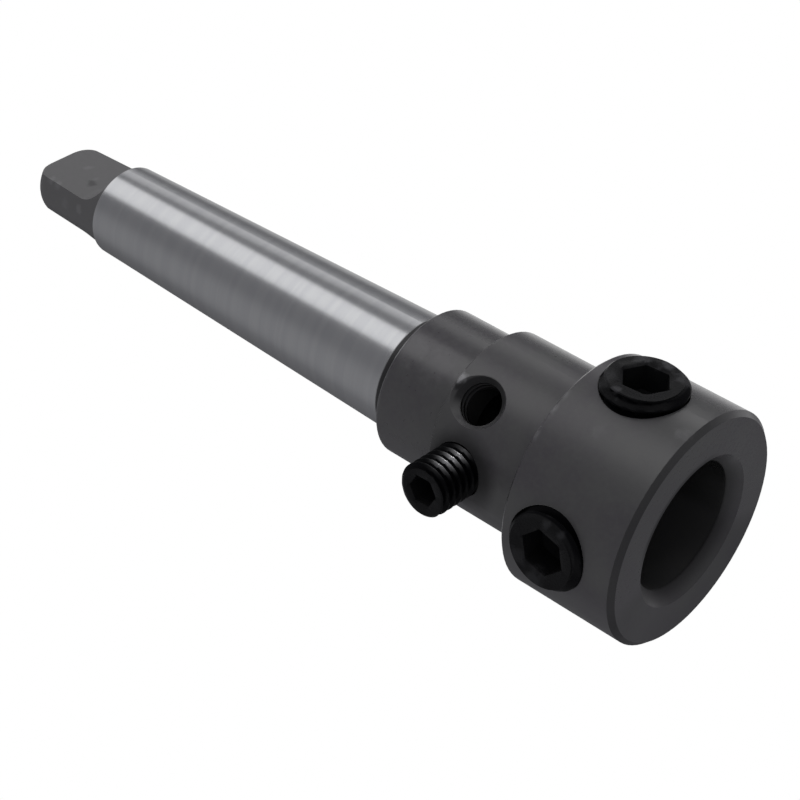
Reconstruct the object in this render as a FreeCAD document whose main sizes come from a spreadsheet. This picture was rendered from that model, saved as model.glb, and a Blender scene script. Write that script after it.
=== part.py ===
import FreeCAD, Part
import math
import os

import Sketcher

# Annular cutter holder: a taper shank with a tang at one end and a bored head at the other,
# with two clamping set screws in the head and one set screw backed out of the neck.
# All sizes are in millimetres. The axis is Z, the front face of the head lies at z = 0,
# the tang points up, clamp screw 1 faces +X and clamp screw 2 faces -Y.

SIZES = [
    ("HeadDiameter", 34.5, "clamping head"),
    ("HeadLength", 18.4, "front face to the back of the head"),
    ("HeadChamfer", 0.7, "outer edge of the front face"),
    ("NeckDiameter", 26.0, "neck behind the head, round the rear of the bore"),
    ("NeckOverBore", 1.0, "how far the neck runs on behind the bore's floor"),
    ("CollarDiameter", 22.6, "collar between the neck and the shank"),
    ("CollarLength", 11.3, "back of the neck to the gauge face"),
    ("EdgeBreak", 0.4, "small chamfer on the rear edges of head, neck and collar"),
    ("BoreDiameter", 19.05, "cutter bore, three quarters of an inch"),
    ("BoreDepth", 34.0, "front face to the floor of the bore"),
    ("MouthChamfer", 1.7, "lead-in of the bore"),
    ("PilotDiameter", 8.0, "recess for the pilot pin, behind the bore"),
    ("PilotDepth", 9.0, "length of the recess before its drill point"),
    ("DrillPointAngle", 118.0, "point angle of the drilled recess, in degrees"),
    ("GaugeDiameter", 18.0, "shank at the collar, number 2 taper"),
    ("TaperRatio", 20.02, "shank length in which its diameter shrinks by 1"),
    ("TaperLength", 64.0, "collar to the small end of the taper"),
    ("TangDiameter", 13.5, "round of the tang, where it leaves the taper"),
    ("TangEndDiameter", 12.3, "round of the tang at its end"),
    ("TangLength", 15.8, "small end of the taper to the end of the tang"),
    ("TangThickness", 6.1, "across the two flats"),
    ("TangFlatLength", 11.2, "straight part of the flats"),
    ("TangRunout", 4.2, "radius of the cutter that milled the flats"),
    ("TangCorner", 2.6, "rounded edge of the tang's end"),
    ("TangTurn", 3.5, "from clamp screw 1 to the middle of a flat, in degrees, towards clamp screw 2"),
    ("CentreDiameter", 4.0, "mouth of the turning centre in the tang's end"),
    ("CentreDrill", 1.6, "drill of the turning centre"),
    ("CentreDepth", 4.0, "depth of the turning centre"),
    ("CentreAngle", 60.0, "cone of the turning centre, in degrees"),
    ("ClampThread", 12.0, "outer diameter of the clamp screws' thread"),
    ("ClampHeight", 10.8, "front face to the clamp screws' axes"),
    ("ClampSpacing", 90.0, "angle between the clamp screws, in degrees"),
    ("ClampLength", 8.0, "clamp screw, overall"),
    ("ClampPoint", 8.5, "flat point of the clamp screw"),
    ("ClampSocket", 6.0, "hexagon across flats"),
    ("ClampSocketDepth", 4.0, "depth of the hexagon"),
    ("ClampEndChamfer", 0.8, "chamfer on the socket end"),
    ("NeckThread", 8.0, "outer diameter of the neck screw's thread"),
    ("NeckLength", 10.0, "neck screw, overall"),
    ("NeckPoint", 5.5, "flat point of the neck screw"),
    ("NeckSocket", 4.0, "hexagon across flats"),
    ("NeckSocketDepth", 5.0, "depth of the hexagon"),
    ("NeckEndChamfer", 0.4, "chamfer on the socket end"),
    ("NeckHoleInset", 4.2, "bore floor to the neck screw's axis"),
    ("PortInset", 3.7, "bore floor to the open hole's axis"),
    ("PortDiameter", 6.1, "open tapped hole in the neck, at the thread's crests"),
    ("PortChamfer", 1.2, "lead-in of the open hole"),
    ("PortAngle", 45.0, "from the neck screw to the open hole, in degrees"),
    ("ThreadClearance", 0.05, "between a screw and its hole, on the radius"),
    ("SocketDrillInset", 0.1, "drill of a socket inside its flats, on the radius"),
    ("FirstSetback", 1.2, "how far the point of clamp screw 1 stands back from the bore"),
    ("SecondSetback", 0.8, "how far the point of clamp screw 2 stands back from the bore"),
    ("NeckSetback", 0.4, "how far the neck screw's point stands back from the bore"),
    ("FirstTurn", 6.0, "how far clamp screw 1 is turned in its hole, in degrees"),
    ("SecondTurn", 15.0, "how far clamp screw 2 is turned in its hole, in degrees"),
    ("NeckTurn", 33.0, "how far the neck screw is turned in its hole, in degrees"),
]

doc = FreeCAD.newDocument("AnnularCutterHolder")
sheet = doc.addObject("Spreadsheet::Sheet", "Sizes")
size = {}
for row, (alias, value, note) in enumerate(SIZES, start=1):
    sheet.set(f"A{row}", alias)
    sheet.set(f"B{row}", str(value))
    sheet.set(f"C{row}", note)
    sheet.setAlias(f"B{row}", alias)
    size[alias] = value
doc.recompute()

# Expressions for places that several features share.
BORE_R = "Sizes.BoreDiameter / 2"
NECK_R = "Sizes.NeckDiameter / 2"
NECK_END = "(Sizes.BoreDepth + Sizes.NeckOverBore)"
GAUGE_FACE = f"({NECK_END} + Sizes.CollarLength)"
TAPER_END = f"({GAUGE_FACE} + Sizes.TaperLength)"
TANG_END = f"({TAPER_END} + Sizes.TangLength)"
SMALL_END_R = "(Sizes.GaugeDiameter - Sizes.TaperLength / Sizes.TaperRatio) / 2"
NECK_HOLE_Z = "(Sizes.BoreDepth - Sizes.NeckHoleInset)"
PORT_Z = "(Sizes.BoreDepth - Sizes.PortInset)"

# How a sketch numbers its own origin and its own axes.
ORIGIN = (-1, 1)
AXIS = {"level": -1, "upright": -2}


def plane_of(body, role):
    """The body's own origin plane with the given role."""
    return [f for f in body.Origin.OriginFeatures if f.Role == role][0]


def new_body(name):
    body = doc.addObject("PartDesign::Body", name)
    body.Label = name
    return body


def new_sketch(body, name, role):
    sketch = body.newObject("Sketcher::SketchObject", name)
    sketch.AttachmentSupport = [(plane_of(body, role), "")]
    sketch.MapMode = "FlatFace"
    return sketch


def turned_about_z(degrees):
    """The offset that turns an upright sketch about the holder's axis, clockwise seen from the tang."""
    return FreeCAD.Placement(FreeCAD.Vector(0, 0, 0), FreeCAD.Rotation(FreeCAD.Vector(0, -1, 0), degrees))


def hold_point(sketch, geo, end, name, x_text, y_text):
    """Place one point of a sketch by two expressions, or on the vertical axis where x is 0."""
    if x_text == "0":
        sketch.addConstraint(Sketcher.Constraint("PointOnObject", geo, end, AXIS["upright"]))
    else:
        index = sketch.addConstraint(Sketcher.Constraint("DistanceX", *ORIGIN, geo, end, 1.0))
        sketch.renameConstraint(index, name + "X")
        sketch.setExpression(f"Constraints.{name}X", x_text)
    if y_text == "0":
        sketch.addConstraint(Sketcher.Constraint("PointOnObject", geo, end, AXIS["level"]))
    else:
        index = sketch.addConstraint(Sketcher.Constraint("DistanceY", *ORIGIN, geo, end, 1.0))
        sketch.renameConstraint(index, name + "Y")
        sketch.setExpression(f"Constraints.{name}Y", y_text)


def outline(body, name, role, corners):
    """A closed outline of straight lines, each corner placed by expressions of the sheet."""
    sketch = new_sketch(body, name, role)
    count = len(corners)
    start = [
        FreeCAD.Vector(20 + 15 * math.cos(2 * math.pi * k / count), 15 * math.sin(2 * math.pi * k / count), 0)
        for k in range(count)
    ]
    for k in range(count):
        sketch.addGeometry(Part.LineSegment(start[k], start[(k + 1) % count]), False)
    for k in range(count):
        sketch.addConstraint(Sketcher.Constraint("Coincident", k, 2, (k + 1) % count, 1))
    for k, (x_text, y_text) in enumerate(corners):
        hold_point(sketch, k, 1, f"Corner{k}", x_text, y_text)
    doc.recompute()
    return sketch


def circle(body, name, role, x_text, y_text, diameter_text):
    sketch = new_sketch(body, name, role)
    centre = FreeCAD.Vector(1, 10, 0)
    sketch.addGeometry(Part.Circle(centre, FreeCAD.Vector(0, 0, 1), 3.0), False)
    hold_point(sketch, 0, 3, "Centre", x_text, y_text)
    index = sketch.addConstraint(Sketcher.Constraint("Diameter", 0, 6.0))
    sketch.renameConstraint(index, "Across")
    sketch.setExpression("Constraints.Across", diameter_text)
    doc.recompute()
    return sketch


def revolved(body, name, kind, sketch, axis):
    feature = body.newObject(kind, name)
    feature.Profile = sketch
    feature.ReferenceAxis = (sketch, [axis])
    feature.Angle = 360.0
    sketch.Visibility = False
    doc.recompute()
    return feature


def chamfered(body, name, size_text, wanted):
    """Chamfer each circular edge whose (radius, height) is in the list."""
    base = body.Tip
    edges = []
    for index, edge in enumerate(base.Shape.Edges, start=1):
        if not isinstance(edge.Curve, Part.Circle):
            continue
        for radius, height in wanted:
            at_height = abs(edge.Curve.Center.z - height) < 1e-4
            if at_height and abs(edge.Curve.Radius - radius) < 1e-4:
                edges.append(f"Edge{index}")
    chamfer = body.newObject("PartDesign::Chamfer", name)
    chamfer.Base = (base, edges)
    chamfer.setExpression("Size", size_text)
    base.Visibility = False
    doc.recompute()
    return chamfer


# The holder itself, turned in one piece from the bore to the tang.

holder = new_body("holder_body")

drill_rise = "Sizes.PilotDiameter / 2 / tan(Sizes.DrillPointAngle / 2 * 1 deg)"
cone_rise = "(Sizes.CentreDiameter - Sizes.CentreDrill) / 2 / tan(Sizes.CentreAngle / 2 * 1 deg)"
turned = outline(
    holder,
    "turned_outline",
    "XZ_Plane",
    [
        (BORE_R, "0"),
        ("Sizes.HeadDiameter / 2", "0"),
        ("Sizes.HeadDiameter / 2", "Sizes.HeadLength"),
        (NECK_R, "Sizes.HeadLength"),
        (NECK_R, NECK_END),
        ("Sizes.CollarDiameter / 2", NECK_END),
        ("Sizes.CollarDiameter / 2", GAUGE_FACE),
        ("Sizes.GaugeDiameter / 2", GAUGE_FACE),
        (SMALL_END_R, TAPER_END),
        ("Sizes.TangDiameter / 2", TAPER_END),
        ("Sizes.TangEndDiameter / 2", TANG_END),
        ("Sizes.CentreDiameter / 2", TANG_END),
        ("Sizes.CentreDrill / 2", f"{TANG_END} - {cone_rise}"),
        ("Sizes.CentreDrill / 2", f"{TANG_END} - Sizes.CentreDepth"),
        ("0", f"{TANG_END} - Sizes.CentreDepth"),
        ("0", f"Sizes.BoreDepth + Sizes.PilotDepth + {drill_rise}"),
        ("Sizes.PilotDiameter / 2", "Sizes.BoreDepth + Sizes.PilotDepth"),
        ("Sizes.PilotDiameter / 2", "Sizes.BoreDepth"),
        (BORE_R, "Sizes.BoreDepth"),
    ],
)
revolved(holder, "turned_body", "PartDesign::Revolution", turned, "V_Axis")

neck_end = size["BoreDepth"] + size["NeckOverBore"]
gauge_face = neck_end + size["CollarLength"]
tang_end = gauge_face + size["TaperLength"] + size["TangLength"]
chamfered(holder, "mouth_chamfer", "Sizes.MouthChamfer", [(size["BoreDiameter"] / 2, 0.0)])
chamfered(holder, "face_chamfer", "Sizes.HeadChamfer", [(size["HeadDiameter"] / 2, 0.0)])
rear_edges = [
    (size["HeadDiameter"] / 2, size["HeadLength"]),
    (size["NeckDiameter"] / 2, neck_end),
    (size["CollarDiameter"] / 2, gauge_face),
]
chamfered(holder, "edge_breaks", "Sizes.EdgeBreak", rear_edges)

# The tang's end is rounded on the lathe, before its flats are milled.
base = holder.Tip
end_edges = [
    f"Edge{index}"
    for index, edge in enumerate(base.Shape.Edges, start=1)
    if isinstance(edge.Curve, Part.Circle)
    and abs(edge.Curve.Center.z - tang_end) < 1e-4
    and abs(edge.Curve.Radius - size["TangEndDiameter"] / 2) < 1e-4
]
tang_round = holder.newObject("PartDesign::Fillet", "tang_round")
tang_round.Base = (base, end_edges)
tang_round.setExpression("Radius", "Sizes.TangCorner")
base.Visibility = False
doc.recompute()

# One milled flat: straight along the tang, then a quarter of the cutter's radius out to the side.
flat = new_sketch(holder, "tang_flat", "XZ_Plane")
flat.AttachmentOffset = turned_about_z(size["TangTurn"])
flat.setExpression("AttachmentOffset.Rotation.Angle", "Sizes.TangTurn * 1 deg")
half = size["TangThickness"] / 2
runout = size["TangRunout"]
flat_foot = tang_end - size["TangFlatLength"]
flat_x = half + runout
over_end = tang_end + runout
across = FreeCAD.Vector(0, 0, 1)
flat.addGeometry(Part.LineSegment(FreeCAD.Vector(half, over_end, 0), FreeCAD.Vector(half, flat_foot, 0)), False)
quarter = Part.ArcOfCircle(
    Part.Circle(FreeCAD.Vector(flat_x, flat_foot, 0), across, runout), math.pi, 1.5 * math.pi
)
flat.addGeometry(quarter, False)
flat.addGeometry(
    Part.LineSegment(FreeCAD.Vector(flat_x, flat_foot - runout, 0), FreeCAD.Vector(flat_x, over_end, 0)), False
)
flat.addGeometry(Part.LineSegment(FreeCAD.Vector(flat_x, over_end, 0), FreeCAD.Vector(half, over_end, 0)), False)
flat.addConstraint(Sketcher.Constraint("Tangent", 0, 2, 1, 1))
flat.addConstraint(Sketcher.Constraint("Coincident", 1, 2, 2, 1))
flat.addConstraint(Sketcher.Constraint("Coincident", 2, 2, 3, 1))
flat.addConstraint(Sketcher.Constraint("Coincident", 3, 2, 0, 1))
flat.addConstraint(Sketcher.Constraint("Vertical", 0))
flat.addConstraint(Sketcher.Constraint("Vertical", 2))
flat.addConstraint(Sketcher.Constraint("Horizontal", 3))
flat.addConstraint(Sketcher.Constraint("Vertical", 1, 3, 1, 2))
hold_point(flat, 0, 1, "Start", "Sizes.TangThickness / 2", f"{TANG_END} + Sizes.TangRunout")
index = flat.addConstraint(Sketcher.Constraint("Radius", 1, runout))
flat.renameConstraint(index, "Cutter")
flat.setExpression("Constraints.Cutter", "Sizes.TangRunout")
index = flat.addConstraint(Sketcher.Constraint("DistanceY", *ORIGIN, 1, 3, flat_foot))
flat.renameConstraint(index, "FlatFoot")
flat.setExpression("Constraints.FlatFoot", f"{TANG_END} - Sizes.TangFlatLength")
doc.recompute()
milled = holder.newObject("PartDesign::Pocket", "milled_flat")
milled.Profile = flat
milled.Type = "Length"
milled.Midplane = True
milled.setExpression("Length", "Sizes.TangDiameter * 2")
flat.Visibility = False
doc.recompute()
both_flats = holder.newObject("PartDesign::PolarPattern", "both_flats")
both_flats.Originals = [milled]
both_flats.Axis = (turned, ["V_Axis"])
both_flats.Angle = 360.0
both_flats.Occurrences = 2
holder.Tip = both_flats
doc.recompute()

# Two tapped holes for the clamp screws, side by side in the head.
clamp_circle = circle(holder, "clamp_circle", "YZ_Plane", "0", "Sizes.ClampHeight", "Sizes.ClampThread")
clamp_hole = holder.newObject("PartDesign::Pocket", "clamp_hole")
clamp_hole.Profile = clamp_circle
clamp_hole.Type = "Length"
clamp_hole.Reversed = True
clamp_hole.setExpression("Length", "Sizes.HeadDiameter")
clamp_circle.Visibility = False
doc.recompute()
clamp_holes = holder.newObject("PartDesign::PolarPattern", "clamp_holes")
clamp_holes.Originals = [clamp_hole]
clamp_holes.Axis = (turned, ["V_Axis"])
clamp_holes.Reversed = True
clamp_holes.Occurrences = 2
clamp_holes.setExpression("Angle", "Sizes.ClampSpacing")
holder.Tip = clamp_holes
doc.recompute()

# The neck screw's hole stands in line with clamp screw 2.
neck_circle = circle(holder, "neck_circle", "XZ_Plane", "0", NECK_HOLE_Z, "Sizes.NeckThread")
neck_hole = holder.newObject("PartDesign::Pocket", "neck_hole")
neck_hole.Profile = neck_circle
neck_hole.Type = "Length"
neck_hole.Reversed = True
neck_hole.setExpression("Length", "Sizes.NeckDiameter")
neck_circle.Visibility = False
doc.recompute()

# The open hole in the neck: its half section, turned about its own radial axis.
port = outline(
    holder,
    "port_outline",
    "XZ_Plane",
    [
        ("Sizes.BoreDiameter / 4", PORT_Z),
        ("Sizes.BoreDiameter / 4", f"{PORT_Z} + Sizes.PortDiameter / 2"),
        (f"{NECK_R} - Sizes.PortChamfer", f"{PORT_Z} + Sizes.PortDiameter / 2"),
        (f"{NECK_R} + Sizes.PortChamfer", f"{PORT_Z} + Sizes.PortDiameter / 2 + Sizes.PortChamfer * 2"),
        (f"{NECK_R} + Sizes.PortChamfer", PORT_Z),
    ],
)
port.AttachmentOffset = turned_about_z(90 - size["PortAngle"])
port.setExpression("AttachmentOffset.Rotation.Angle", "(90 - Sizes.PortAngle) * 1 deg")
axis_line = port.addGeometry(Part.LineSegment(FreeCAD.Vector(5, 20, 0), FreeCAD.Vector(12, 20, 0)), True)
hold_point(port, axis_line, 1, "AxisFoot", "Sizes.BoreDiameter / 4", PORT_Z)
hold_point(port, axis_line, 2, "AxisHead", f"{NECK_R} + Sizes.PortChamfer", PORT_Z)
doc.recompute()
port_hole = revolved(holder, "port_hole", "PartDesign::Groove", port, "Axis0")


def hexagon(body, name, across_flats, height_text, turn):
    """A regular hexagon about the origin, lifted to the given height and turned."""
    sketch = new_sketch(body, name, "XY_Plane")
    turned_by = FreeCAD.Rotation(FreeCAD.Vector(0, 0, 1), size[turn])
    sketch.AttachmentOffset = FreeCAD.Placement(FreeCAD.Vector(0, 0, 0), turned_by)
    sketch.setExpression("AttachmentOffset.Base.z", height_text)
    sketch.setExpression("AttachmentOffset.Rotation.Angle", f"Sizes.{turn} * 1 deg")
    corner_r = size[across_flats] / math.sqrt(3)
    corners = [
        FreeCAD.Vector(corner_r * math.cos(math.pi / 3 * k), corner_r * math.sin(math.pi / 3 * k), 0)
        for k in range(6)
    ]
    for k in range(6):
        sketch.addGeometry(Part.LineSegment(corners[k], corners[(k + 1) % 6]), False)
    ring = sketch.addGeometry(Part.Circle(FreeCAD.Vector(0, 0, 0), FreeCAD.Vector(0, 0, 1), corner_r), True)
    sketch.addConstraint(Sketcher.Constraint("Coincident", ring, 3, *ORIGIN))
    for k in range(6):
        sketch.addConstraint(Sketcher.Constraint("Coincident", k, 2, (k + 1) % 6, 1))
        sketch.addConstraint(Sketcher.Constraint("PointOnObject", k, 1, ring))
    for k in range(1, 6):
        sketch.addConstraint(Sketcher.Constraint("Equal", 0, k))
    sketch.addConstraint(Sketcher.Constraint("Horizontal", 1))
    index = sketch.addConstraint(Sketcher.Constraint("Diameter", ring, 2 * corner_r))
    sketch.renameConstraint(index, "AcrossCorners")
    sketch.setExpression("Constraints.AcrossCorners", f"2 * Sizes.{across_flats} / sqrt(3)")
    doc.recompute()
    return sketch


def set_screw(name, kind, turn):
    """A set screw with a hexagon socket, from its flat point at z = 0 up to its socket end."""
    body = new_body(name)
    crest_r = f"(Sizes.{kind}Thread / 2 - Sizes.ThreadClearance)"
    length = f"Sizes.{kind}Length"
    socket_floor = f"({length} - Sizes.{kind}SocketDepth)"
    drill_r = f"(Sizes.{kind}Socket / 2 - Sizes.SocketDrillInset)"
    profile = outline(
        body,
        name + "_outline",
        "XZ_Plane",
        [
            ("0", "0"),
            (f"Sizes.{kind}Point / 2", "0"),
            (crest_r, f"{crest_r} - Sizes.{kind}Point / 2"),
            (crest_r, f"{length} - Sizes.{kind}EndChamfer"),
            (f"{crest_r} - Sizes.{kind}EndChamfer", length),
            ("0", length),
        ],
    )
    revolved(body, name + "_blank", "PartDesign::Revolution", profile, "V_Axis")
    hexagonal = hexagon(body, name + "_hexagon", kind + "Socket", length, turn)
    socket = body.newObject("PartDesign::Pocket", name + "_socket")
    socket.Profile = hexagonal
    socket.Type = "Length"
    socket.setExpression("Length", f"Sizes.{kind}SocketDepth")
    hexagonal.Visibility = False
    doc.recompute()
    point = outline(
        body,
        name + "_drill_point",
        "XZ_Plane",
        [
            ("0", socket_floor),
            (drill_r, socket_floor),
            ("0", f"{socket_floor} - {drill_r} / tan(Sizes.DrillPointAngle / 2 * 1 deg)"),
        ],
    )
    revolved(body, name + "_drilled", "PartDesign::Groove", point, "V_Axis")
    return body


# Each screw points at the axis, with its tip clear of the bore's wall.
clamp_1 = set_screw("clamp_screw_1", "Clamp", "FirstTurn")
clamp_1.Placement = FreeCAD.Placement(FreeCAD.Vector(0, 0, 0), FreeCAD.Rotation(FreeCAD.Vector(0, 1, 0), 90))
clamp_1.setExpression("Placement.Base.x", f"{BORE_R} + Sizes.FirstSetback")
clamp_1.setExpression("Placement.Base.z", "Sizes.ClampHeight")

clamp_2 = set_screw("clamp_screw_2", "Clamp", "SecondTurn")
clamp_2.Placement = FreeCAD.Placement(FreeCAD.Vector(0, 0, 0), FreeCAD.Rotation(FreeCAD.Vector(1, 0, 0), 90))
clamp_2.setExpression("Placement.Base.y", f"-({BORE_R} + Sizes.SecondSetback)")
clamp_2.setExpression("Placement.Base.z", "Sizes.ClampHeight")

neck_screw = set_screw("neck_screw", "Neck", "NeckTurn")
neck_screw.Placement = FreeCAD.Placement(FreeCAD.Vector(0, 0, 0), FreeCAD.Rotation(FreeCAD.Vector(1, 0, 0), 90))
neck_screw.setExpression("Placement.Base.y", f"-({BORE_R} + Sizes.NeckSetback)")
neck_screw.setExpression("Placement.Base.z", NECK_HOLE_Z)
doc.recompute()

bodies = [holder, clamp_1, clamp_2, neck_screw]
for item in doc.Objects:
    if "Invalid" in item.State or "Error" in item.State:
        raise RuntimeError(f"{item.Name} did not build: {item.State}")
for body in bodies:
    if body.Shape.isNull() or not body.Shape.isValid() or len(body.Shape.Solids) != 1:
        raise RuntimeError(f"{body.Label} is not one sound solid")

os.makedirs("parts", exist_ok=True)
for body in bodies:
    body.Shape.exportStep(f"parts/{body.Label}.step")
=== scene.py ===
import math

import bmesh
import bpy
from mathutils import Matrix, Vector


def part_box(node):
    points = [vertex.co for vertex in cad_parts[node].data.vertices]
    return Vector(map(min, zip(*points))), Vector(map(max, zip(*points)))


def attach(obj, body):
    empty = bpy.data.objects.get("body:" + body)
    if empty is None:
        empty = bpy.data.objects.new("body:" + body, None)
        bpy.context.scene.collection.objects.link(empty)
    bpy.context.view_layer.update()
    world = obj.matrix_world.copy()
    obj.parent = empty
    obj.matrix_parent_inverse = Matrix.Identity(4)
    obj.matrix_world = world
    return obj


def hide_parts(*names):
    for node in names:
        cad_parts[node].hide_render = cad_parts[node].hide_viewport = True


# Annular cutter holder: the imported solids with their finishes, and the three set screws as threaded pieces.
# All lengths are in metres, in the frame of the solids: Z is the holder's axis, the head's face lies at z = 0.

MM = 0.001

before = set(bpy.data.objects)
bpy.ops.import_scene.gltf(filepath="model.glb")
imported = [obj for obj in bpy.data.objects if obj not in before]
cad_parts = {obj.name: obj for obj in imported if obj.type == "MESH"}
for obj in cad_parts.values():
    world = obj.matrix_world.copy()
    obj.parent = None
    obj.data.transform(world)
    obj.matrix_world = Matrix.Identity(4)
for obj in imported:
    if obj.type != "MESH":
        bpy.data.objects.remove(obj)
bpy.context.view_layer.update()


def rgba(red, green, blue):
    return (red, green, blue, 1.0)


WHITE = rgba(1.0, 1.0, 1.0)

# Places along and across the holder, from the solids.
HEAD_BACK_Z = 18.4 * MM
NECK_BACK_Z = 35.0 * MM
GAUGE_FACE_Z = 46.3 * MM
TAPER_END_Z = 110.3 * MM
HEAD_R = 17.25 * MM
NECK_R = 13.0 * MM
COLLAR_R = 11.3 * MM
BORE_R = 9.525 * MM
MOUTH_Z = 1.7 * MM
MOUTH_R = BORE_R + MOUTH_Z
HEAD_CHAMFER = 0.7 * MM
PORT_CHAMFER = 1.2 * MM

# Tapped holes: azimuth in degrees, height, radius at the crests, pitch. The last is the coolant port.
TAPPED = [
    (0.0, 10.8 * MM, 6.0 * MM, 1.75 * MM),
    (-90.0, 10.8 * MM, 6.0 * MM, 1.75 * MM),
    (-90.0, 29.8 * MM, 4.0 * MM, 1.25 * MM),
    (-45.0, 30.3 * MM, 3.05 * MM, 1.0 * MM),
]
TAPPED_EDGE = (0.02 * MM, 0.05 * MM)
TAPPED_START = (BORE_R - 0.9 * MM, BORE_R - 0.8 * MM)
TAPPED_RELIEF = 0.8 * MM
SPARE_TURNS = 20.0  # keeps the count of turns above zero

# Colours of the holder: its oxide where it is thin, thick, flecked and on the tang, painted shade inside the
# holes, the deepest painted shade and a stain, then bare metal and painted highlights, and where it is ground.
OXIDE_THIN = rgba(0.096, 0.096, 0.096)
OXIDE_THICK = rgba(0.076, 0.070, 0.080)
OXIDE_FLECK = rgba(0.115, 0.115, 0.115)
# Painted shade inside the bore and the cross holes.
INSIDE_SHADE = rgba(0.026, 0.026, 0.026)
# Deepest painted shade: bore's mouth, front chamfer, countersink, round the neck screw; also a stain on the tang.
DEEP_SHADE_AND_STAIN = rgba(0.016, 0.016, 0.017)
OXIDE_TANG = rgba(0.148, 0.146, 0.149)
FLECK_SHARE = 0.35
# Bare metal where rubbed, and painted highlights where rims and spots catch the light.
BARE_STEEL_AND_HIGHLIGHT = rgba(0.40, 0.40, 0.41)
GROUND_DULL = rgba(0.56, 0.565, 0.58)
GROUND_BRIGHT = rgba(0.59, 0.595, 0.605)
GROUND_GRAZING_TINT = rgba(0.62, 0.62, 0.62)

# How fine the textures are, in features a metre, how far they push an edge, and the part of their swing in use.
TURNING_SCALE = 4200.0
BROAD_TURNING_SCALE = 520.0
BROAD_TURNING_EDGES = (0.3, 0.7)
BLOTCH_SCALE = 95.0
BLOTCH_EDGES = (0.32, 0.7)
FINE_SCALE = 1400.0
FLECK_EDGES = (0.35, 0.8)
GRAIN_EDGES = (0.2, 0.8)
RIM_PATCH_SCALE = 330.0
RIM_PATCH_EDGES = (0.35, 0.65)
MARK_EDGE_SCALE = 900.0
MARK_EDGE_SWING = 1.6
# The ragged edge of the painted shade round the neck screw.
NECK_SCREW_SHADE_EDGE_SCALE = 420.0
NECK_SCREW_SHADE_EDGE_SWING = 1.2 * MM

# Where the shades of the oxide and the painted shade lie: from the first place of a pair to the second a shade
# sets in or dies away.
ROOT_END_Z = GAUGE_FACE_Z + 2.0 * MM
GRIND_START = (ROOT_END_Z - 0.15 * MM, ROOT_END_Z + 0.15 * MM)
GRIND_END = (TAPER_END_Z - 0.1 * MM, TAPER_END_Z + 0.1 * MM)
ROOT_START = (GAUGE_FACE_Z, GAUGE_FACE_Z + 0.05 * MM)
ROOT_END = (ROOT_END_Z, ROOT_END_Z + 0.3 * MM)
ROOT_LIMIT_R = COLLAR_R - 1.5 * MM
TANG_START = (TAPER_END_Z, TAPER_END_Z + 0.3 * MM)
IN_BORE_R = (BORE_R + 0.02 * MM, BORE_R + 0.2 * MM)
IN_BORE_END = (GAUGE_FACE_Z - 1.0 * MM, GAUGE_FACE_Z)
IN_HEAD_R = (HEAD_R - 0.7 * MM, HEAD_R - 0.3 * MM)
IN_HEAD_START = (MOUTH_Z, MOUTH_Z + 0.4 * MM)
IN_HEAD_END = (HEAD_BACK_Z - 0.3 * MM, HEAD_BACK_Z - 0.1 * MM)
IN_NECK_R = (NECK_R - PORT_CHAMFER - 0.1 * MM, NECK_R - PORT_CHAMFER)
IN_NECK_START = (HEAD_BACK_Z, HEAD_BACK_Z + 0.2 * MM)
IN_NECK_END = (NECK_BACK_Z - 0.3 * MM, NECK_BACK_Z - 0.1 * MM)
FACE_EDGE = (0.0, 0.1 * MM)
# Painted shade in the bore's mouth, on its lip towards -35 degrees, and on the front chamfer, most on the -Y side.
MOUTH_SHARE = 0.7
MOUTH_END = (MOUTH_Z, MOUTH_Z + 0.5 * MM)
LIP_SHARE = 0.7
LIP_R = (MOUTH_R + 0.2 * MM, MOUTH_R + 0.9 * MM)
LIP_AZIMUTH = -35.0
LIP_ARC = (0.55, 0.85)
CHAMFER_START = (HEAD_R - HEAD_CHAMFER - 0.10 * MM, HEAD_R - HEAD_CHAMFER - 0.02 * MM)
CHAMFER_FADE_Y = (-2.0 * MM, 4.0 * MM)
CHAMFER_SHARES = (0.65, 0.15)
# Painted shade on one side of the port's countersink: its turn, arc and reach.
PORT_SHADE_TURN = 10.0
PORT_SHADE_ARC = (-0.35, 0.05)
PORT_SHADE_REACH = (0.6 * MM, 0.9 * MM)
# Painted shade round the neck screw's hole.
NECK_SCREW_SHADE_AZIMUTH = -90.0
NECK_SCREW_SHADE_Z = 29.0 * MM
NECK_SCREW_SHADE_R = (4.0 * MM, 7.0 * MM)
NECK_SCREW_SHADE_SHARE = 0.9

# Rims rubbed bright, and on the head's back rim a painted highlight: height, radius, how wide, how much, and the
# azimuth and half angle of the bright arc, in degrees. A rim is as bright as it gets over its core.
RIM_INSET = 0.2 * MM
RIM_CORE = 0.4
RIMS_WORN_AND_LIT = [
    (GAUGE_FACE_Z - RIM_INSET, COLLAR_R - RIM_INSET, 0.6 * MM, 0.30, -100.0, 50.0),
    (GAUGE_FACE_Z - RIM_INSET, COLLAR_R - RIM_INSET, 0.4 * MM, 0.25, 100.0, 110.0),
    (NECK_BACK_Z - RIM_INSET, NECK_R - RIM_INSET, 0.4 * MM, 0.25, 130.0, 110.0),
    # The head's back rim towards -35 degrees: a painted highlight.
    (HEAD_BACK_Z - RIM_INSET, HEAD_R - RIM_INSET, 0.9 * MM, 0.60, -35.0, 15.0),
    (HEAD_BACK_Z - RIM_INSET, HEAD_R - RIM_INSET, 0.45 * MM, 0.30, 130.0, 110.0),
]

# Small marks: place in millimetres, radius in millimetres, how much. They fade between two shares of the radius.
MARK_EDGES = (0.2, 1.0)
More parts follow.
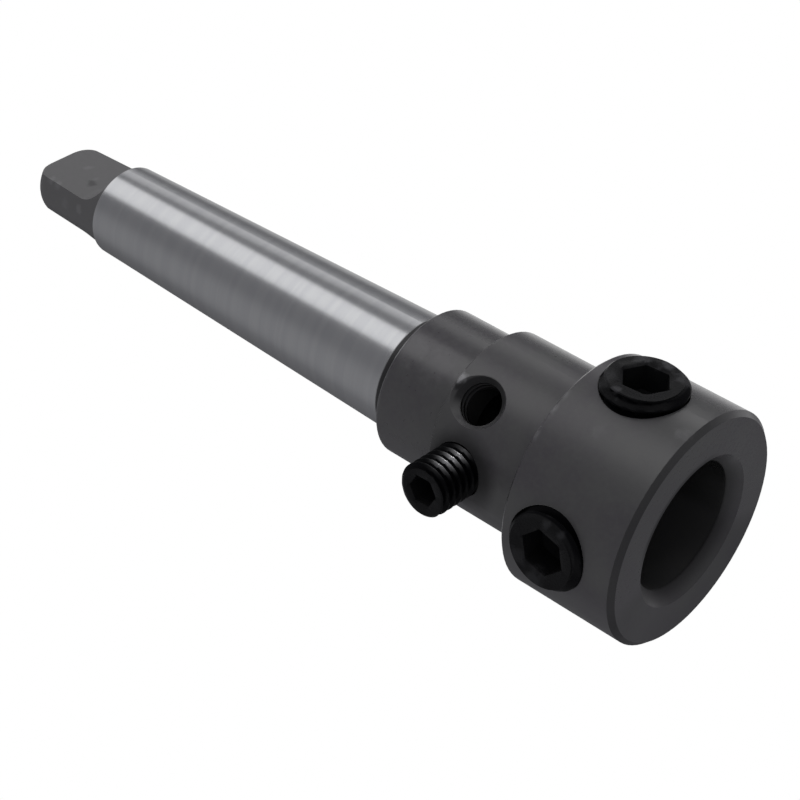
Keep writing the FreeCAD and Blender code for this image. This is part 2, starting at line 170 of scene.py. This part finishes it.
# The first, third, fourth and fifth are painted highlights on the neck's back edge, the head and the collar; the
# second is a light spot by the head's front edge; the rest are rubbed spots on the tang.
WEAR_AND_HIGHLIGHT_MARKS = [
    ((10.5, -7.7, 34.6), 1.2, 1.0),
    ((16.6, -3.9, 1.7), 1.5, 0.20),
    ((14.8, -8.8, 10.9), 1.6, 0.06),
    ((9.2, -6.6, 44.3), 3.6, 0.11),
    ((9.2, -6.6, 39.6), 3.6, 0.08),
    ((3.1, 0.9, 120.9), 1.0, 0.16),
    ((3.0, -0.6, 117.4), 0.8, 0.12),
    ((2.7, -5.5, 122.3), 1.1, 0.22),
    ((2.7, -5.6, 120.5), 1.1, 0.18),
    ((0.8, -6.4, 114.6), 1.1, 0.20),
    ((0.4, -6.4, 118.3), 1.6, 0.10),
]
# The first is a painted shade by the neck's back edge next to the port; the second is a smudge on the tang.
SHADE_AND_STAIN_MARKS = [
    ((9.8, -8.6, 34.1), 1.5, 0.9),
    ((2.9, -1.9, 116.9), 1.1, 0.45),
]
# Painted highlights and reflections on the faces and rims of the clamp screws.
SCREW_HIGHLIGHTS = [
    ((18.7, -4.8, 12.0), 1.0, 0.8),
    ((18.2, -5.6, 11.4), 0.9, 0.7),
    ((18.7, -3.4, 14.8), 2.0, 0.35),
    ((4.8, -18.3, 10.6), 0.9, 0.45),
    ((4.4, -18.3, 8.4), 0.9, 0.45),
    ((18.7, 4.9, 10.8), 1.9, 1.0),
    ((18.7, 3.4, 14.2), 1.7, 0.9),
    ((18.7, 3.4, 7.4), 1.7, 0.7),
    ((-4.4, -18.3, 11.2), 2.2, 0.40),
    ((-2.6, -18.3, 14.4), 1.8, 0.30),
]

# Roughness of the holder: the collar's oxide and the ground taper, then what other places add to the collar's.
# The lee is the side away from clamp screw 1, by the cosine of its azimuth.
COLLAR_ROUGHNESS = (0.27, 0.33)
GROUND_ROUGHNESS = (0.24, 0.27)
COLLAR_START = (NECK_BACK_Z - 0.1 * MM, NECK_BACK_Z + 0.1 * MM)
HEAD_MATT = 0.12
LOW_ANGLE = (0.35, 0.7)
LOW_ANGLE_GLOSS = -0.05
LOW_ANGLE_GLOSS_REACH = (0.35, 0.75)
LEE_MATT = 0.25
LEE_ARC = (-0.50, -0.20)
TANG_MATT = 0.12
DARK_MATT = 0.25
HOLDER_SPECULAR = 0.8
HOLDER_ANISOTROPY = 0.6
HOLDER_ANISOTROPY_TURN = 0.25

# Relief of the turning marks: the shares of lines and grain in it, its height, and its share on oxide and ground.
LINES_SHARE = 0.6
GRAIN_SHARE = 0.4
TURNING_RELIEF = 0.010 * MM
TURNING_STRENGTH = 0.25
OXIDE_RELIEF = 0.7
GROUND_RELIEF = 0.02

# Finish of the screws.
SCREW_BLACK = rgba(0.012, 0.012, 0.013)
SCREW_GREY = rgba(0.022, 0.022, 0.023)
# Painted shade on the threaded body of a screw.
SCREW_THREAD_SHADE = rgba(0.004, 0.004, 0.005)
# Painted highlights on the clamp screws.
SCREW_PAINTED_HIGHLIGHT = rgba(0.08, 0.08, 0.085)
# Bright metal on the crests, placed only where the glints fall: a painted glint.
SCREW_GLINT_METAL = rgba(0.75, 0.75, 0.76)
SCREW_ROUGHNESS = (0.24, 0.32)
SCREW_GLINT_ROUGHNESS = 0.20
SCREW_SPECULAR = 0.06
SCREW_BLOTCH_SCALE = 600.0
SCREW_GLINT_EDGES = (0.3, 0.6)
SCREW_GLINT_SHARES = (0.7, 1.0)
SCREW_FINE_SCALE = 3000.0
SCREW_RELIEF = 0.01 * MM
SCREW_RELIEF_STRENGTH = 0.2

# Threads of the set screws, the painted glint of bright metal on the crests by its place round and along a screw,
# and the two ends.
COLUMNS = 96
ROWS_PER_TURN = 16
THREAD_DEPTH_SHARE = 0.61
CREST_SHARE = 0.16
ROOT_SHARE = 0.22
GLINT_DEPTH_SHARE = 0.45
GLINT_ANGLE = math.radians(-104.5)
GLINT_SPREAD = math.radians(16.0)
GLINT_MIDDLE = 5.7 * MM
GLINT_REACH = 2.6 * MM
POINT_TAPER = 0.93
SOCKET_LEAD = 0.22 * MM
SOCKET_LEAD_DEPTH = 0.25 * MM
DRILL_INSET = 0.1 * MM
DRILL_CONE = math.radians(30.0)
SHARP_EDGE = math.radians(32.0)

# Set screws: CAD node, the way its socket faces, whether its crests carry the painted glint, its socket's turn in
# degrees, and in millimetres its pitch, point radius, chamfer, socket width and socket depth.
SCREWS = [
    ("clamp_screw_1", (1, 0, 0), 0.0, 24.0, (1.75, 4.25, 0.8, 6.0, 4.0)),
    ("clamp_screw_2", (0, -1, 0), 0.0, 45.0, (1.75, 4.25, 0.8, 6.0, 4.0)),
    ("neck_screw", (0, -1, 0), 1.0, 27.0, (1.25, 2.75, 0.4, 4.0, 5.0)),
]

# The camera of the photograph: where it stands and how it is turned in degrees, from a fit to the outline.
CAMERA_AZIMUTH = 42.18
CAMERA_ELEVATION = -31.58
CAMERA_ROLL = -59.90
CAMERA_PLACE = Vector((162.277, -185.519, -102.646)) * MM
CAMERA_LENS = 91.126
CAMERA_SENSOR = 36.0
CAMERA_RANGE = (0.01, 20.0)

# The floor: its size, how far it lies below the holder, its tones, and where its own light sets in, which leaves
# a painted shadow round the holder.
FLOOR_HALF = 3.0
FLOOR_DROP = 0.02 * MM
FLOOR_TONES = (rgba(0.80, 0.80, 0.80), rgba(0.84, 0.84, 0.84))
FLOOR_TONE_SCALE = 14.0
FLOOR_ROUGHNESS = 0.9
FLOOR_LIGHT = 0.5
FLOOR_SHADOW_EDGES = (0.9 * HEAD_R, 1.5 * HEAD_R)

# The room's light: its own colour, then glows by direction, reach as cosines, and colour. The last is the
# backdrop.
ROOM = rgba(0.21, 0.21, 0.22)
GLOWS = [
    ((-0.366, -0.692, 0.624), (0.80, 1.0), rgba(0.29, 0.29, 0.30)),
    ((-0.085, 0.974, -0.208), (0.94, 0.99), rgba(0.75, 0.75, 0.76)),
    ((-0.561, -0.801, -0.208), (0.94, 0.99), rgba(0.75, 0.75, 0.76)),
    ((-0.33, 0.75, 0.575), (0.88, 1.02), WHITE),
]

# Soft boxes that face the middle of the holder: name, direction, distance, width, height, watts.
LIGHT_TARGET = Vector((0.0, 0.0, 62.0 * MM))
SOFTBOXES = [
    ("key_light", (0.808, -0.148, 0.59), 0.7, 0.43, 0.9, 1.02),
    ("spark", (0.754, 0.631, 0.18), 0.7, 0.10, 0.10, 0.17),
    ("second_light", (0.56, 0.59, 0.59), 0.7, 0.26, 0.8, 0.37),
    ("side_fill", (0.95, 0.15, -0.20), 0.8, 0.5, 0.3, 0.42),
]


# ---- nodes of materials ----

class Tree:
    """A short way to write a node tree."""

    def __init__(self, owner):
        owner.use_nodes = True
        self.tree = owner.node_tree
        self.tree.nodes.clear()

    def node(self, kind, **settings):
        made = self.tree.nodes.new(kind)
        for key, value in settings.items():
            setattr(made, key, value)
        return made

    def feed(self, socket, value):
        if isinstance(value, bpy.types.NodeSocket):
            self.tree.links.new(value, socket)
        elif value is not None:
            socket.default_value = value

    def math(self, operation, a, b=None):
        made = self.node("ShaderNodeMath", operation=operation)
        self.feed(made.inputs[0], a)
        self.feed(made.inputs[1], b)
        return made.outputs[0]

    def vector(self, operation, a, b=None):
        made = self.node("ShaderNodeVectorMath", operation=operation)
        self.feed(made.inputs[0], a)
        self.feed(made.inputs[1], b)
        return made.outputs["Value"]

    def chain(self, operation, first, *others):
        for other in others:
            first = self.math(operation, first, other)
        return first

    def product(self, *values):
        return self.chain("MULTIPLY", *values)

    def total(self, *values):
        return self.chain("ADD", *values)

    def largest(self, *values):
        return self.chain("MAXIMUM", *values)

    def diagonal(self, a, b):
        return self.math("SQRT", self.total(self.product(a, a), self.product(b, b)))

    def step(self, value, edges, ends=(0.0, 1.0)):
        """Smoothly from one end to the other as the value goes from the first edge to the second."""
        made = self.node("ShaderNodeMapRange", interpolation_type="SMOOTHSTEP")
        for socket, number in zip(made.inputs, (value, *edges, *ends)):
            self.feed(socket, number)
        return made.outputs[0]

    def fall(self, value, edges, share=1.0):
        """Smoothly from the share to nothing as the value goes from the first edge to the second."""
        return self.step(value, edges, (share, 0.0))

    def mix(self, factor, a, b):
        made = self.node("ShaderNodeMix", data_type="RGBA")
        self.feed(made.inputs[0], factor)
        self.feed(made.inputs[6], a)
        self.feed(made.inputs[7], b)
        return made.outputs[2]

    def mix_number(self, factor, a, b):
        made = self.node("ShaderNodeMix", data_type="FLOAT")
        self.feed(made.inputs[0], factor)
        self.feed(made.inputs[2], a)
        self.feed(made.inputs[3], b)
        return made.outputs[0]

    def mix_shaders(self, factor, a, b):
        made = self.node("ShaderNodeMixShader")
        self.feed(made.inputs[0], factor)
        self.feed(made.inputs[1], a)
        self.feed(made.inputs[2], b)
        return made.outputs[0]

    def noise(self, place, scale, detail=2.0, roughness=0.5, dimensions="3D"):
        made = self.node("ShaderNodeTexNoise", noise_dimensions=dimensions)
        self.feed(made.inputs["W" if dimensions == "1D" else "Vector"], place)
        self.feed(made.inputs["Scale"], scale)
        self.feed(made.inputs["Detail"], detail)
        self.feed(made.inputs["Roughness"], roughness)
        return made.outputs["Fac"]

    def bump(self, height, distance, strength, normal=None):
        made = self.node("ShaderNodeBump")
        made.inputs["Strength"].default_value = strength
        made.inputs["Distance"].default_value = distance
        self.feed(made.inputs["Height"], height)
        self.feed(made.inputs["Normal"], normal)
        return made.outputs[0]

    def principled(self, **inputs):
        """The main shader. An input is named with underscores for spaces."""
        made = self.node("ShaderNodeBsdfPrincipled")
        for name, value in inputs.items():
            self.feed(made.inputs[name.replace("_", " ")], value)
        return made.outputs[0]

    def show(self, shader, output="ShaderNodeOutputMaterial"):
        self.feed(self.node(output).inputs[0], shader)


def ragged_edge(t, place, scale, swing):
    """A noise that pushes the edge of a mark to and fro."""
    return t.product(t.math("SUBTRACT", t.noise(place, scale, detail=3.0), 0.5), swing)


def marks_mask(t, place, marks):
    """Where small marks lie, with ragged edges."""
    ragged = ragged_edge(t, place, MARK_EDGE_SCALE, MARK_EDGE_SWING)
    spots = []
    for middle, size, share in marks:
        away = t.vector("DISTANCE", place, Vector(middle) * MM)
        reach = t.total(t.math("DIVIDE", away, size * MM), ragged)
        spots.append(t.fall(reach, MARK_EDGES, share))
    return t.largest(*spots)


def toward(t, x, y, azimuth):
    """How far a place lies toward an azimuth, which is in degrees."""
    turn = math.radians(azimuth)
    return t.total(t.product(x, math.cos(turn)), t.product(y, math.sin(turn)))


def around_hole(t, x, y, z, azimuth, height_z):
    """How deep a place lies along a cross hole's axis, how far aside and over it, and how far off it."""
    turn = math.radians(azimuth)
    deep = toward(t, x, y, azimuth)
    aside = t.math("SUBTRACT", t.product(y, math.cos(turn)), t.product(x, math.sin(turn)))
    over = t.math("SUBTRACT", z, height_z)
    return deep, aside, over, t.diagonal(aside, over)


# ---- looks of the holder ----

def inside_mask(t, z, radius):
    """Painted shade in the insides of the bore and of the cross holes."""
    in_bore = t.product(t.fall(radius, IN_BORE_R), t.fall(z, IN_BORE_END))
    in_head = t.product(t.fall(radius, IN_HEAD_R), t.step(z, IN_HEAD_START), t.fall(z, IN_HEAD_END))
    in_neck = t.product(t.fall(radius, IN_NECK_R), t.fall(z, IN_NECK_END), t.step(z, IN_NECK_START))
    return t.largest(in_bore, in_head, in_neck)


def shade_and_stain_mask(t, place, x, y, z, radius):
    """Painted shade in the bore's mouth and lip, on the front chamfer, in the countersink and round the neck
    screw, a darker taper root, and shade and stain marks.
    """
    mouth = t.product(t.fall(radius, (BORE_R, MOUTH_R), MOUTH_SHARE), t.step(z, FACE_EDGE), t.fall(z, MOUTH_END))
    to_lip = t.math("DIVIDE", toward(t, x, y, LIP_AZIMUTH), radius)
    lip = t.product(t.fall(radius, LIP_R, LIP_SHARE), t.fall(z, FACE_EDGE), t.step(to_lip, LIP_ARC))
    chamfer = t.step(t.math("SUBTRACT", radius, z), CHAMFER_START)
    chamfer = t.product(chamfer, t.step(y, CHAMFER_FADE_Y, CHAMFER_SHARES))
    root = t.product(t.step(z, ROOT_START), t.fall(z, ROOT_END), t.math("LESS_THAN", radius, ROOT_LIMIT_R))

    # Painted shade on one side of the port's countersink, next to the hole.
    port_azimuth, port_z, port_radius, _ = TAPPED[-1]
    deep, aside, over, off_axis = around_hole(t, x, y, z, port_azimuth, port_z)
    shade_side = t.math("DIVIDE", toward(t, aside, over, PORT_SHADE_TURN), off_axis)
    shade_reach = [port_radius + reach for reach in PORT_SHADE_REACH]
    port_shade = t.product(t.step(shade_side, PORT_SHADE_ARC), t.fall(off_axis, shade_reach))
    port_shade = t.product(port_shade, t.math("GREATER_THAN", deep, BORE_R))

    # Painted shade round the neck screw, a little more on the side of the head.
    deep, _, _, off_axis = around_hole(t, x, y, z, NECK_SCREW_SHADE_AZIMUTH, NECK_SCREW_SHADE_Z)
    ragged_reach = t.total(off_axis, ragged_edge(t, place, NECK_SCREW_SHADE_EDGE_SCALE, NECK_SCREW_SHADE_EDGE_SWING))
    neck_screw_shade = t.product(t.fall(ragged_reach, NECK_SCREW_SHADE_R, NECK_SCREW_SHADE_SHARE), t.math("GREATER_THAN", deep, BORE_R))

    return t.largest(mouth, lip, chamfer, root, marks_mask(t, place, SHADE_AND_STAIN_MARKS), port_shade, neck_screw_shade)


def wear_and_highlight_mask(t, place, x, y, z, radius):
    """Where the sharp rims and a few spots are rubbed to the metal, and painted highlights on the head's back rim,
    the neck's edge, the head and the collar.
    """
    rims = []
    for rim_z, rim_radius, width, share, azimuth, half_angle in RIMS_WORN_AND_LIT:
        away = t.diagonal(t.math("SUBTRACT", z, rim_z), t.math("SUBTRACT", radius, rim_radius))
        facing = t.math("DIVIDE", toward(t, x, y, azimuth), radius)
        arc = t.step(facing, (math.cos(math.radians(half_angle)), math.cos(math.radians(half_angle / 2))))
        rims.append(t.product(t.fall(away, (width * RIM_CORE, width)), share, arc))
    patches = t.step(t.noise(place, RIM_PATCH_SCALE, detail=3.0), RIM_PATCH_EDGES)
    return t.largest(t.product(t.largest(*rims), patches), marks_mask(t, place, WEAR_AND_HIGHLIGHT_MARKS))


def oxide_matt(t, x, z, radius, tang, dark):
    """What each place adds to the oxide's roughness. The collar keeps more gloss than the neck and the head."""
    low_angle = t.node("ShaderNodeLayerWeight").outputs["Facing"]
    head = t.product(t.fall(z, COLLAR_START, HEAD_MATT), t.fall(low_angle, LOW_ANGLE))
    sheen = t.step(low_angle, LOW_ANGLE_GLOSS_REACH, (0.0, LOW_ANGLE_GLOSS))
    lee = t.fall(t.math("DIVIDE", x, radius), LEE_ARC, LEE_MATT)
    return t.total(head, sheen, lee, t.product(tang, TANG_MATT), t.product(dark, DARK_MATT))


def tapped_height(t, x, y, z):
    """The threads on the walls of the tapped holes."""
    cuts = []
    for azimuth, height_z, hole_radius, pitch in TAPPED:
        deep, aside, over, off_axis = around_hole(t, x, y, z, azimuth, height_z)
        angle = t.math("DIVIDE", t.math("ARCTAN2", over, aside), 2 * math.pi)
        phase = t.math("FRACT", t.total(t.math("DIVIDE", deep, pitch), t.total(angle, SPARE_TURNS)))
        ridge = t.math("ABSOLUTE", t.math("SUBTRACT", phase, 0.5))
        wall = [hole_radius + edge for edge in TAPPED_EDGE]
        here = t.product(t.fall(off_axis, wall), t.step(deep, TAPPED_START))
        cuts.append(t.product(ridge, here, pitch / MM))
    return t.total(*cuts)


def steel_material(name):
    """Blackened steel that is ground bright over the taper, turned round the Z axis."""
    material = bpy.data.materials.new(name)
    t = Tree(material)
    place = t.node("ShaderNodeTexCoord").outputs["Object"]
    parts = t.node("ShaderNodeSeparateXYZ")
    t.feed(parts.inputs[0], place)
    x, y, z = parts.outputs
    radius = t.diagonal(x, y)

    # The taper is ground from just past its root, which the wheel doesn't reach, up to the tang.
    ground = t.product(t.step(z, GRIND_START), t.fall(z, GRIND_END))
    tang = t.step(z, TANG_START)
    inside = inside_mask(t, z, radius)
    dark = shade_and_stain_mask(t, place, x, y, z, radius)
    wear_and_highlight = wear_and_highlight_mask(t, place, x, y, z, radius)

    # Turning marks run round the axis, so they follow z on the rounds and the radius on the faces.
    along = t.total(z, radius)
    marks = t.noise(along, TURNING_SCALE, dimensions="1D")
    broad_marks = t.noise(along, BROAD_TURNING_SCALE, dimensions="1D")
    blotch = t.noise(place, BLOTCH_SCALE, detail=4.0, roughness=0.6)
    fine = t.noise(place, FINE_SCALE)

    black = t.mix(t.step(blotch, BLOTCH_EDGES), OXIDE_THICK, OXIDE_THIN)
    black = t.mix(t.step(fine, FLECK_EDGES, (0.0, FLECK_SHARE)), black, OXIDE_FLECK)
    # Painted shade inside the holes.
    black = t.mix(inside, black, INSIDE_SHADE)
    black = t.mix(tang, black, OXIDE_TANG)
    # The deepest painted shade, and a stain on the tang.
    black = t.mix(dark, black, DEEP_SHADE_AND_STAIN)
    # Bare metal where rubbed, and painted highlights.
    black = t.mix(wear_and_highlight, black, BARE_STEEL_AND_HIGHLIGHT)
    bright = t.mix(t.step(broad_marks, BROAD_TURNING_EDGES), GROUND_DULL, GROUND_BRIGHT)

    black_roughness = t.total(t.step(fine, GRAIN_EDGES, COLLAR_ROUGHNESS), oxide_matt(t, x, z, radius, tang, dark))
    bright_roughness = t.step(marks, GRAIN_EDGES, GROUND_ROUGHNESS)

    turned = t.total(t.product(marks, LINES_SHARE), t.product(fine, GRAIN_SHARE))
    turned = t.product(turned, t.mix_number(ground, OXIDE_RELIEF, GROUND_RELIEF))
    threads = t.bump(tapped_height(t, x, y, z), TAPPED_RELIEF, 1.0)
    tangent = t.node("ShaderNodeTangent", direction_type="RADIAL", axis="Z").outputs[0]

    t.show(t.principled(
        Base_Color=t.mix(ground, black, bright),
        Roughness=t.mix_number(ground, black_roughness, bright_roughness),
        Metallic=ground,
        Specular_Tint=t.mix(ground, WHITE, GROUND_GRAZING_TINT),
        Specular_IOR_Level=HOLDER_SPECULAR,
        Anisotropic=HOLDER_ANISOTROPY,
        Anisotropic_Rotation=HOLDER_ANISOTROPY_TURN,
        Tangent=tangent,
        Normal=t.bump(turned, TURNING_RELIEF, TURNING_STRENGTH, threads),
    ))
    return material


def screw_material(name):
    """Blackened, lightly oiled steel. The mesh tells where the thread lies, painted darker as shade, and where
    crests paint a glint.
    """
    material = bpy.data.materials.new(name)
    t = Tree(material)
    place = t.node("ShaderNodeTexCoord").outputs["Object"]
    thread = t.node("ShaderNodeAttribute", attribute_name="thread").outputs["Fac"]
    glint_wear = t.node("ShaderNodeAttribute", attribute_name="glint_wear").outputs["Fac"]
    blotch = t.noise(place, SCREW_BLOTCH_SCALE, detail=3.0)
    fine = t.noise(place, SCREW_FINE_SCALE)
    # Bright metal on the crests where the glints fall, a painted glint broken up by blotches.
    glint_wear = t.product(glint_wear, t.step(blotch, SCREW_GLINT_EDGES, SCREW_GLINT_SHARES))
    colour = t.mix(blotch, SCREW_BLACK, SCREW_GREY)
    # The threaded body is painted darker, as shade.
    colour = t.mix(thread, colour, SCREW_THREAD_SHADE)
    # Painted highlights on the clamp screws.
    colour = t.mix(marks_mask(t, place, SCREW_HIGHLIGHTS), colour, SCREW_PAINTED_HIGHLIGHT)
    t.show(t.principled(
        Base_Color=t.mix(glint_wear, colour, SCREW_GLINT_METAL),
        Roughness=t.mix_number(glint_wear, t.step(fine, GRAIN_EDGES, SCREW_ROUGHNESS), SCREW_GLINT_ROUGHNESS),
        Metallic=glint_wear,
        Specular_IOR_Level=SCREW_SPECULAR,
        Normal=t.bump(fine, SCREW_RELIEF, SCREW_RELIEF_STRENGTH),
    ))
    return material


def floor_material(name):
    """A pale floor that is seen from above and looked through from below."""
    material = bpy.data.materials.new(name)
    t = Tree(material)
    place = t.node("ShaderNodeTexCoord").outputs["Object"]
    away = t.vector("LENGTH", place)
    solid = t.principled(
        Base_Color=t.mix(t.noise(place, FLOOR_TONE_SCALE), *FLOOR_TONES),
        Roughness=FLOOR_ROUGHNESS,
        Emission_Color=WHITE,
        # Its own light is left out under and round the holder: a painted shadow.
        Emission_Strength=t.step(away, FLOOR_SHADOW_EDGES, (0.0, FLOOR_LIGHT)),
    )
    clear = t.node("ShaderNodeBsdfTransparent").outputs[0]
    from_below = t.node("ShaderNodeNewGeometry").outputs["Backfacing"]
    t.show(t.mix_shaders(from_below, solid, clear))
    return material


# ---- objects ----

def add_object(name, data):
    made = bpy.data.objects.new(name, data)
    bpy.context.scene.collection.objects.link(made)
    return made


def stand(thing, place, right, up, back):
    """Puts a light or a camera in its place, looking away from back."""
    thing.matrix_world = Matrix.Translation(place) @ Matrix((right, up, back)).transposed().to_4x4()


def hex_radius(angle, apothem):
    """Distance from the middle to the side of a hexagon, at an angle."""
    sixth = math.pi / 3
    return apothem / math.cos((angle + sixth / 2) % sixth - sixth / 2)


def thread_radius(x, angle, major, depth, pitch):
    """Radius of a right-handed thread with flat crests and roots."""
    phase = (x / pitch - angle / (2 * math.pi)) % 1.0
    distance = abs(phase - 0.5) * 2  # 0 at the middle of the crest, 1 at the middle of the root
    flank = (distance - CREST_SHARE) / (1 - CREST_SHARE - ROOT_SHARE)
    return major - depth * min(max(flank, 0.0), 1.0)


def glint(x, angle):
    """How much bright metal a crest carries for the painted glint, by its place along the screw and round it."""
    off = (angle - GLINT_ANGLE + math.pi) % (2 * math.pi) - math.pi
    along = (x - GLINT_MIDDLE) / GLINT_REACH
    return math.exp(-(off / GLINT_SPREAD) ** 2 - along ** 4)


def ring_faces(ring_count, last_vertex):
    """Faces that join the rings, with a fan to the first vertex at one end and to the last at the other."""
    faces = []
    for k in range(COLUMNS):
        faces.append((0, 1 + k, 1 + (k + 1) % COLUMNS))
    for r in range(ring_count - 1):
        a, b = 1 + r * COLUMNS, 1 + (r + 1) * COLUMNS
        for k in range(COLUMNS):
            n = (k + 1) % COLUMNS
            faces.append((a + k, b + k, b + n, a + n))
    last_ring = 1 + (ring_count - 1) * COLUMNS
    for k in range(COLUMNS):
        faces.append((last_ring + k, last_vertex, last_ring + (k + 1) % COLUMNS))
    return faces


def set_screw(name, node, out, wear_and_highlight, socket_turn, sizes):
    """A set screw in the place of a CAD node. It points along out, away from the holder's axis."""
    pitch, point, chamfer, socket, socket_depth = (size * MM for size in sizes)
    low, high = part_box(node)
    centre = (low + high) / 2
    out = Vector(out)
    up = Vector((0, 0, 1))
    side = out.cross(up)
    size = high - low
    length = abs(size.dot(out))
    major = abs(size.dot(up)) / 2
    depth = pitch * THREAD_DEPTH_SHARE
    start = centre - out * (length / 2)
    angles = [2 * math.pi * k / COLUMNS for k in range(COLUMNS)]

    def circle(x, radius_at):
        ring = []
        for angle in angles:
            radius = radius_at(angle)
            ring.append(start + out * x + up * (radius * math.cos(angle)) + side * (radius * math.sin(angle)))
        return ring

    def outer(x):
        envelope = min(point + x, major, major - chamfer + (length - x))
        return lambda angle: min(envelope, thread_radius(x, angle, major, depth, pitch))

    def hexagon(angle):
        return hex_radius(angle + socket_turn, apothem)

    apothem = socket / 2
    mouth = apothem / math.cos(math.pi / 6) + SOCKET_LEAD
    drill = apothem - DRILL_INSET
    rings = [circle(0.0, lambda angle: point * POINT_TAPER)]
    glint_wear = [0.0] * COLUMNS
    thread = [0.0] * COLUMNS
    rows = int(round(length / pitch * ROWS_PER_TURN))
    for row in range(rows + 1):
        x = length * row / rows
        radius_at = outer(x)
        rings.append(circle(x, radius_at))
        for angle in angles:
            on_crest = radius_at(angle) > major - GLINT_DEPTH_SHARE * depth
            glint_wear.append(wear_and_highlight * glint(x, angle) if on_crest else 0.0)
            thread.append(1.0 if x < length - chamfer / 2 else 0.0)
    rings.append(circle(length, lambda angle: mouth))
    rings.append(circle(length - SOCKET_LEAD_DEPTH, hexagon))
    rings.append(circle(length - socket_depth, hexagon))
    rings.append(circle(length - socket_depth, lambda angle: drill))

    vertices = [start.copy()]
    for ring in rings:
        vertices.extend(ring)
    vertices.append(start + out * (length - socket_depth - drill * math.tan(DRILL_CONE)))

    mesh = bpy.data.meshes.new(name)
    mesh.from_pydata(vertices, [], ring_faces(len(rings), len(vertices) - 1))
    mesh.validate()
    for attribute, values in (("glint_wear", glint_wear), ("thread", thread)):
        layer = mesh.attributes.new(attribute, "FLOAT", "POINT")
        for index, value in enumerate(values):
            layer.data[index + 1].value = value
    work = bmesh.new()
    work.from_mesh(mesh)
    bmesh.ops.recalc_face_normals(work, faces=work.faces)
    work.to_mesh(mesh)
    work.free()
    for polygon in mesh.polygons:
        polygon.use_smooth = True
    mesh.set_sharp_from_angle(angle=SHARP_EDGE)
    return add_object(name, mesh)


def world_light():
    """Plain white to the camera, and to everything else a grey room with glows."""
    world = bpy.data.worlds.new("studio")
    bpy.context.scene.world = world
    t = Tree(world)
    direction = t.node("ShaderNodeTexCoord").outputs["Generated"]
    room = ROOM
    for middle, reach, colour in GLOWS:
        facing = t.vector("DOT_PRODUCT", direction, Vector(middle).normalized())
        room = t.mix(t.step(facing, reach), room, colour)
    seen = t.node("ShaderNodeBackground")
    seen.inputs[0].default_value = WHITE
    lit = t.node("ShaderNodeBackground")
    t.feed(lit.inputs[0], room)
    camera_ray = t.node("ShaderNodeLightPath").outputs["Is Camera Ray"]
    t.show(t.mix_shaders(camera_ray, lit.outputs[0], seen.outputs[0]), output="ShaderNodeOutputWorld")


def softbox(name, direction, distance, width, height, power):
    """A rectangular light that faces the middle of the holder; its height runs along the holder's axis."""
    light = bpy.data.lights.new(name, "AREA")
    light.shape = "RECTANGLE"
    light.size = width
    light.size_y = height
    light.energy = power
    lamp = add_object(name, light)
    back = Vector(direction).normalized()
    right = Vector((0, 0, 1)).cross(back).normalized()
    stand(lamp, LIGHT_TARGET + back * distance, right, back.cross(right), back)
    lamp.visible_camera = False


# ---- holder and screws ----

holder_steel = steel_material("holder_steel_look")
screw_steel = screw_material("screw_steel_look")

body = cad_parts["holder_body"]
body.data.materials.clear()
body.data.materials.append(holder_steel)

for node, out, wear_and_highlight, turn, sizes in SCREWS:
    piece = set_screw(node + "_threaded", node, out, wear_and_highlight, math.radians(turn), sizes)
    piece.data.materials.append(screw_steel)
    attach(piece, node)
    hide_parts(node)


# ---- floor, light and camera ----

floor_mesh = bpy.data.meshes.new("floor")
floor_mesh.from_pydata(
    [(x * FLOOR_HALF, y * FLOOR_HALF, -FLOOR_DROP) for x, y in ((-1, -1), (1, -1), (1, 1), (-1, 1))],
    [], [(0, 1, 2, 3)],
)
floor = add_object("floor", floor_mesh)
floor.data.materials.append(floor_material("pale_floor"))
floor.visible_shadow = False
floor.visible_diffuse = False
floor.visible_glossy = False

world_light()
for box in SOFTBOXES:
    softbox(*box)

camera_data = bpy.data.cameras.new("camera")
camera_data.lens = CAMERA_LENS
camera_data.sensor_width = CAMERA_SENSOR
camera_data.clip_start, camera_data.clip_end = CAMERA_RANGE
camera = add_object("camera", camera_data)
azimuth, elevation, roll = (math.radians(angle) for angle in (CAMERA_AZIMUTH, CAMERA_ELEVATION, CAMERA_ROLL))
level = Vector((math.cos(azimuth), math.sin(azimuth), 0))
back = Vector((
    math.sin(azimuth) * math.cos(elevation),
    -math.cos(azimuth) * math.cos(elevation),
    math.sin(elevation),
))
over = back.cross(level)
right = level * math.cos(roll) + over * math.sin(roll)
up = over * math.cos(roll) - level * math.sin(roll)
stand(camera, CAMERA_PLACE, right, up, back)
bpy.context.scene.camera = camera
bpy.context.scene.view_settings.view_transform = "Standard"
